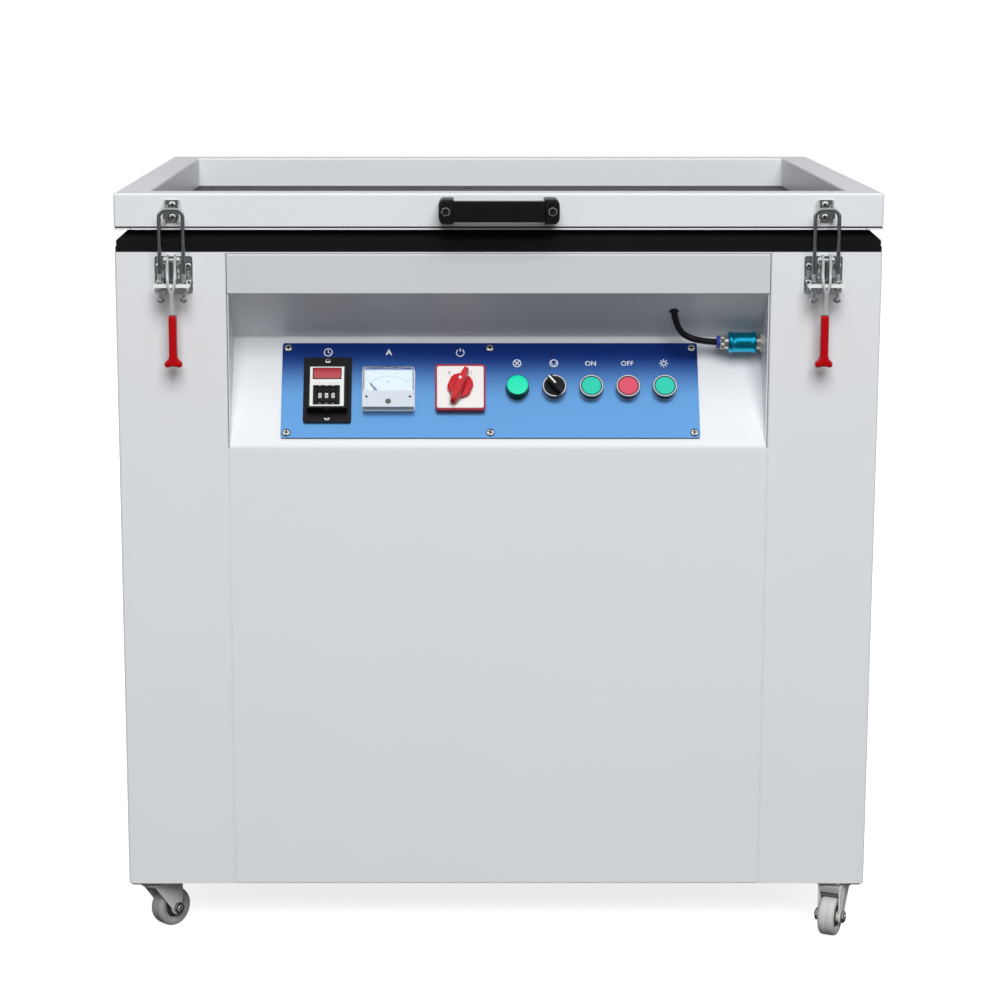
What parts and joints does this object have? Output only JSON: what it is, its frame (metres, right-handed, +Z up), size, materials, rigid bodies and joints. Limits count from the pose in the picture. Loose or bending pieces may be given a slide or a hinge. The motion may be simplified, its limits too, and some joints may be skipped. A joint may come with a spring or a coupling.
{
  "type": "screen printing exposure unit",
  "caption": "Mobile exposure cabinet with a glass bed under a hinged vacuum lid, toggle latches, and a sloping control panel in a front recess, on swivel casters.",
  "frame": {"origin": "on the floor under the middle of the unit's box", "axes": "+X to the operator's right, +Y to the rear, +Z up"},
  "size_m": [0.98, 0.7724, 0.941],
  "materials": {
    "painted_steel": "light grey enamel",
    "clear_glass": "polished",
    "black_rubber": "matt",
    "bright_aluminium": "specular",
    "lamp_glass": "clear",
    "grey_castings": "semi-gloss",
    "zinc_plate": "bright zinc",
    "grey_tyre": "matt grey",
    "blue_enamel": "gloss",
    "black_plastic": "fine texture",
    "black_enamel": "gloss",
    "chromed_rod": "polished",
    "red_vinyl": "gloss",
    "clear_plastic": "clear",
    "white_plastic": "gloss",
    "red_plastic": "gloss",
    "green_plastic": "gloss, translucent",
    "nickel_brass": "nickel plated",
    "blue_anodised": "anodised",
    "black_hose": "satin"
  },
  "bodies": {
    "cabinet": {"base_tray": "painted_steel", "side_panel_left": "painted_steel", "side_panel_right": "painted_steel", "upper_fascia": "painted_steel", "front_panel": "painted_steel", "back_panel": "painted_steel", "top_deck": "painted_steel", "exposure_glass": "clear_glass", "rim_gasket": "black_rubber", "light_hood": "bright_aluminium", "uv_lamp": "lamp_glass", "vacuum_pump": "grey_castings", "cabinet_hinge_leaves": "zinc_plate", "latch_base_left": "zinc_plate", "latch_base_right": "zinc_plate", "caster_plates": "zinc_plate", "control_panel": "blue_enamel", "panel_screws": "zinc_plate", "timer_housing": "black_plastic", "ammeter_case": "black_plastic", "ammeter_cover": "clear_plastic", "cam_switch_body": "white_plastic", "operator_rings": "chromed_rod", "indicator_lens": "green_plastic", "valve_body": "nickel_brass", "vacuum_hose": "black_hose"},
    "lid": {"lid_frame": "painted_steel", "rubber_blanket": "black_rubber", "blanket_clamps": "painted_steel", "lid_handle": "black_plastic", "lid_hinge_leaves": "zinc_plate", "latch_catches": "zinc_plate"},
    "strut_cylinder_left": {"strut_cylinder_left": "black_enamel"},
    "strut_rod_left": {"strut_rod_left": "chromed_rod"},
    "strut_cylinder_right": {"strut_cylinder_right": "black_enamel"},
    "strut_rod_right": {"strut_rod_right": "chromed_rod"},
    "latch_lever_left": {"latch_lever_left": "zinc_plate", "latch_grip_left": "red_vinyl"},
    "latch_bail_left": {"latch_bail_left": "zinc_plate"},
    "latch_lever_right": {"latch_lever_right": "zinc_plate", "latch_grip_right": "red_vinyl"},
    "latch_bail_right": {"latch_bail_right": "zinc_plate"},
    "caster_fork_front_left": {"caster_fork_front_left": "zinc_plate"},
    "caster_wheel_front_left": {"caster_wheel_front_left": "grey_tyre"},
    "caster_fork_front_right": {"caster_fork_front_right": "zinc_plate"},
    "caster_wheel_front_right": {"caster_wheel_front_right": "grey_tyre"},
    "caster_fork_rear_left": {"caster_fork_rear_left": "zinc_plate"},
    "caster_wheel_rear_left": {"caster_wheel_rear_left": "grey_tyre"},
    "caster_fork_rear_right": {"caster_fork_rear_right": "zinc_plate"},
    "caster_wheel_rear_right": {"caster_wheel_rear_right": "grey_tyre"},
    "timer_rocker_1": {"timer_rocker_1": "black_plastic"},
    "timer_rocker_2": {"timer_rocker_2": "black_plastic"},
    "timer_rocker_3": {"timer_rocker_3": "black_plastic"},
    "ammeter_needle": {"ammeter_needle": "black_plastic"},
    "cam_switch_knob": {"cam_switch_knob": "red_plastic"},
    "selector_knob": {"selector_knob": "black_plastic"},
    "on_button": {"on_button": "green_plastic"},
    "off_button": {"off_button": "red_plastic"},
    "expose_button": {"expose_button": "green_plastic"},
    "valve_sleeve": {"valve_sleeve": "blue_anodised"}
  },
  "joints": [
    {"name": "lid_hinge", "type": "hinge", "parent": "cabinet", "child": "lid", "pos_m": [0, 0.37975, 0.886], "axis": [-1, 0, 0], "range_deg": [0, 75]},
    {"name": "strut_foot_left", "type": "hinge", "parent": "cabinet", "child": "strut_cylinder_left", "pos_m": [-0.481, 0.26315, 0.66485], "axis": [-1, 0, 0], "range_deg": [0, 37.5]},
    {"name": "strut_top_left", "type": "hinge", "parent": "lid", "child": "strut_rod_left", "pos_m": [-0.481, 0.13206, 0.91993], "axis": [-1, 0, 0], "range_deg": [-37.5, 0]},
    {"name": "strut_foot_right", "type": "hinge", "parent": "cabinet", "child": "strut_cylinder_right", "pos_m": [0.481, 0.26315, 0.66485], "axis": [-1, 0, 0], "range_deg": [0, 37.5]},
    {"name": "strut_top_right", "type": "hinge", "parent": "lid", "child": "strut_rod_right", "pos_m": [0.481, 0.13206, 0.91993], "axis": [-1, 0, 0], "range_deg": [-37.5, 0]},
    {"name": "latch_pull_left", "type": "hinge", "parent": "cabinet", "child": "latch_lever_left", "pos_m": [-0.3935, -0.37025, 0.862], "axis": [-1, 0, 0], "range_deg": [0, 100]},
    {"name": "bail_swing_left", "type": "hinge", "parent": "latch_lever_left", "child": "latch_bail_left", "pos_m": [-0.3935, -0.37325, 0.832], "axis": [-1, 0, 0], "range_deg": [-90, 0]},
    {"name": "latch_pull_right", "type": "hinge", "parent": "cabinet", "child": "latch_lever_right", "pos_m": [0.3935, -0.37025, 0.862], "axis": [-1, 0, 0], "range_deg": [0, 100]},
    {"name": "bail_swing_right", "type": "hinge", "parent": "latch_lever_right", "child": "latch_bail_right", "pos_m": [0.3935, -0.37325, 0.832], "axis": [-1, 0, 0], "range_deg": [-90, 0]},
    {"name": "swivel_front_left", "type": "hinge", "parent": "cabinet", "child": "caster_fork_front_left", "pos_m": [-0.435, -0.31825, 0.06], "axis": [0, 0, 1], "continuous": true},
    {"name": "wheel_front_left", "type": "hinge", "parent": "caster_fork_front_left", "child": "caster_wheel_front_left", "pos_m": [-0.41803, -0.30128, 0.025], "axis": [-0.7071, 0.7071, 0], "continuous": true},
    {"name": "swivel_front_right", "type": "hinge", "parent": "cabinet", "child": "caster_fork_front_right", "pos_m": [0.435, -0.31825, 0.06], "axis": [0, 0, 1], "continuous": true},
    {"name": "wheel_front_right", "type": "hinge", "parent": "caster_fork_front_right", "child": "caster_wheel_front_right", "pos_m": [0.42524, -0.34018, 0.025], "axis": [0.9135, -0.4067, 0], "continuous": true},
    {"name": "swivel_rear_left", "type": "hinge", "parent": "cabinet", "child": "caster_fork_rear_left", "pos_m": [-0.435, 0.34175, 0.06], "axis": [0, 0, 1], "continuous": true},
    {"name": "wheel_rear_left", "type": "hinge", "parent": "caster_fork_rear_left", "child": "caster_wheel_rear_left", "pos_m": [-0.41421, 0.32975, 0.025], "axis": [0.5, 0.866, 0], "continuous": true},
    {"name": "swivel_rear_right", "type": "hinge", "parent": "cabinet", "child": "caster_fork_rear_right", "pos_m": [0.435, 0.34175, 0.06], "axis": [0, 0, 1], "continuous": true},
    {"name": "wheel_rear_right", "type": "hinge", "parent": "caster_fork_rear_right", "child": "caster_wheel_rear_right", "pos_m": [0.41245, 0.33354, 0.025], "axis": [0.342, -0.9397, 0], "continuous": true},
    {"name": "timer_key_1", "type": "hinge", "parent": "cabinet", "child": "timer_rocker_1", "pos_m": [-0.2188, -0.32631, 0.68998], "axis": [1, 0, 0], "range_deg": [-5, 5], "stiffness_Nm_per_rad": 0.05},
    {"name": "timer_key_2", "type": "hinge", "parent": "cabinet", "child": "timer_rocker_2", "pos_m": [-0.2107, -0.32631, 0.68998], "axis": [1, 0, 0], "range_deg": [-5, 5], "stiffness_Nm_per_rad": 0.05},
    {"name": "timer_key_3", "type": "hinge", "parent": "cabinet", "child": "timer_rocker_3", "pos_m": [-0.2026, -0.32631, 0.68998], "axis": [1, 0, 0], "range_deg": [-5, 5], "stiffness_Nm_per_rad": 0.05},
    {"name": "needle_swing", "type": "hinge", "parent": "cabinet", "child": "ammeter_needle", "pos_m": [-0.1348, -0.32636, 0.6817], "axis": [0, 0.8361, -0.5485], "range_deg": [0, 80]},
    {"name": "cam_switch_turn", "type": "hinge", "parent": "cabinet", "child": "cam_switch_knob", "pos_m": [-0.046, -0.31761, 0.70233], "axis": [0, -0.8361, 0.5485], "range_deg": [0, 60]},
    {"name": "selector_turn", "type": "hinge", "parent": "cabinet", "child": "selector_knob", "pos_m": [0.0703, -0.31539, 0.70207], "axis": [0, 0.8361, -0.5485], "range_deg": [0, 90]},
    {"name": "on_button_press", "type": "slide", "parent": "cabinet", "child": "on_button", "axis": [0, 0.8361, -0.5485], "range_m": [0, 0.004], "stiffness_N_per_m": 400, "springref_m": -0.002},
    {"name": "off_button_press", "type": "slide", "parent": "cabinet", "child": "off_button", "axis": [0, 0.8361, -0.5485], "range_m": [0, 0.004], "stiffness_N_per_m": 400, "springref_m": -0.002},
    {"name": "expose_button_press", "type": "slide", "parent": "cabinet", "child": "expose_button", "axis": [0, 0.8361, -0.5485], "range_m": [0, 0.004], "stiffness_N_per_m": 400, "springref_m": -0.002},
    {"name": "valve_slide", "type": "slide", "parent": "cabinet", "child": "valve_sleeve", "axis": [1, 0, 0], "range_m": [0, 0.0045]}
  ],
  "couplings": [
    {"joint": "strut_foot_left", "follows": "lid_hinge", "ratio": 0.5},
    {"joint": "strut_top_left", "follows": "lid_hinge", "ratio": -0.5},
    {"joint": "strut_foot_right", "follows": "lid_hinge", "ratio": 0.5},
    {"joint": "strut_top_right", "follows": "lid_hinge", "ratio": -0.5},
    {"joint": "bail_swing_left", "follows": "latch_pull_left", "ratio": -0.9},
    {"joint": "bail_swing_right", "follows": "latch_pull_right", "ratio": -0.9}
  ]
}
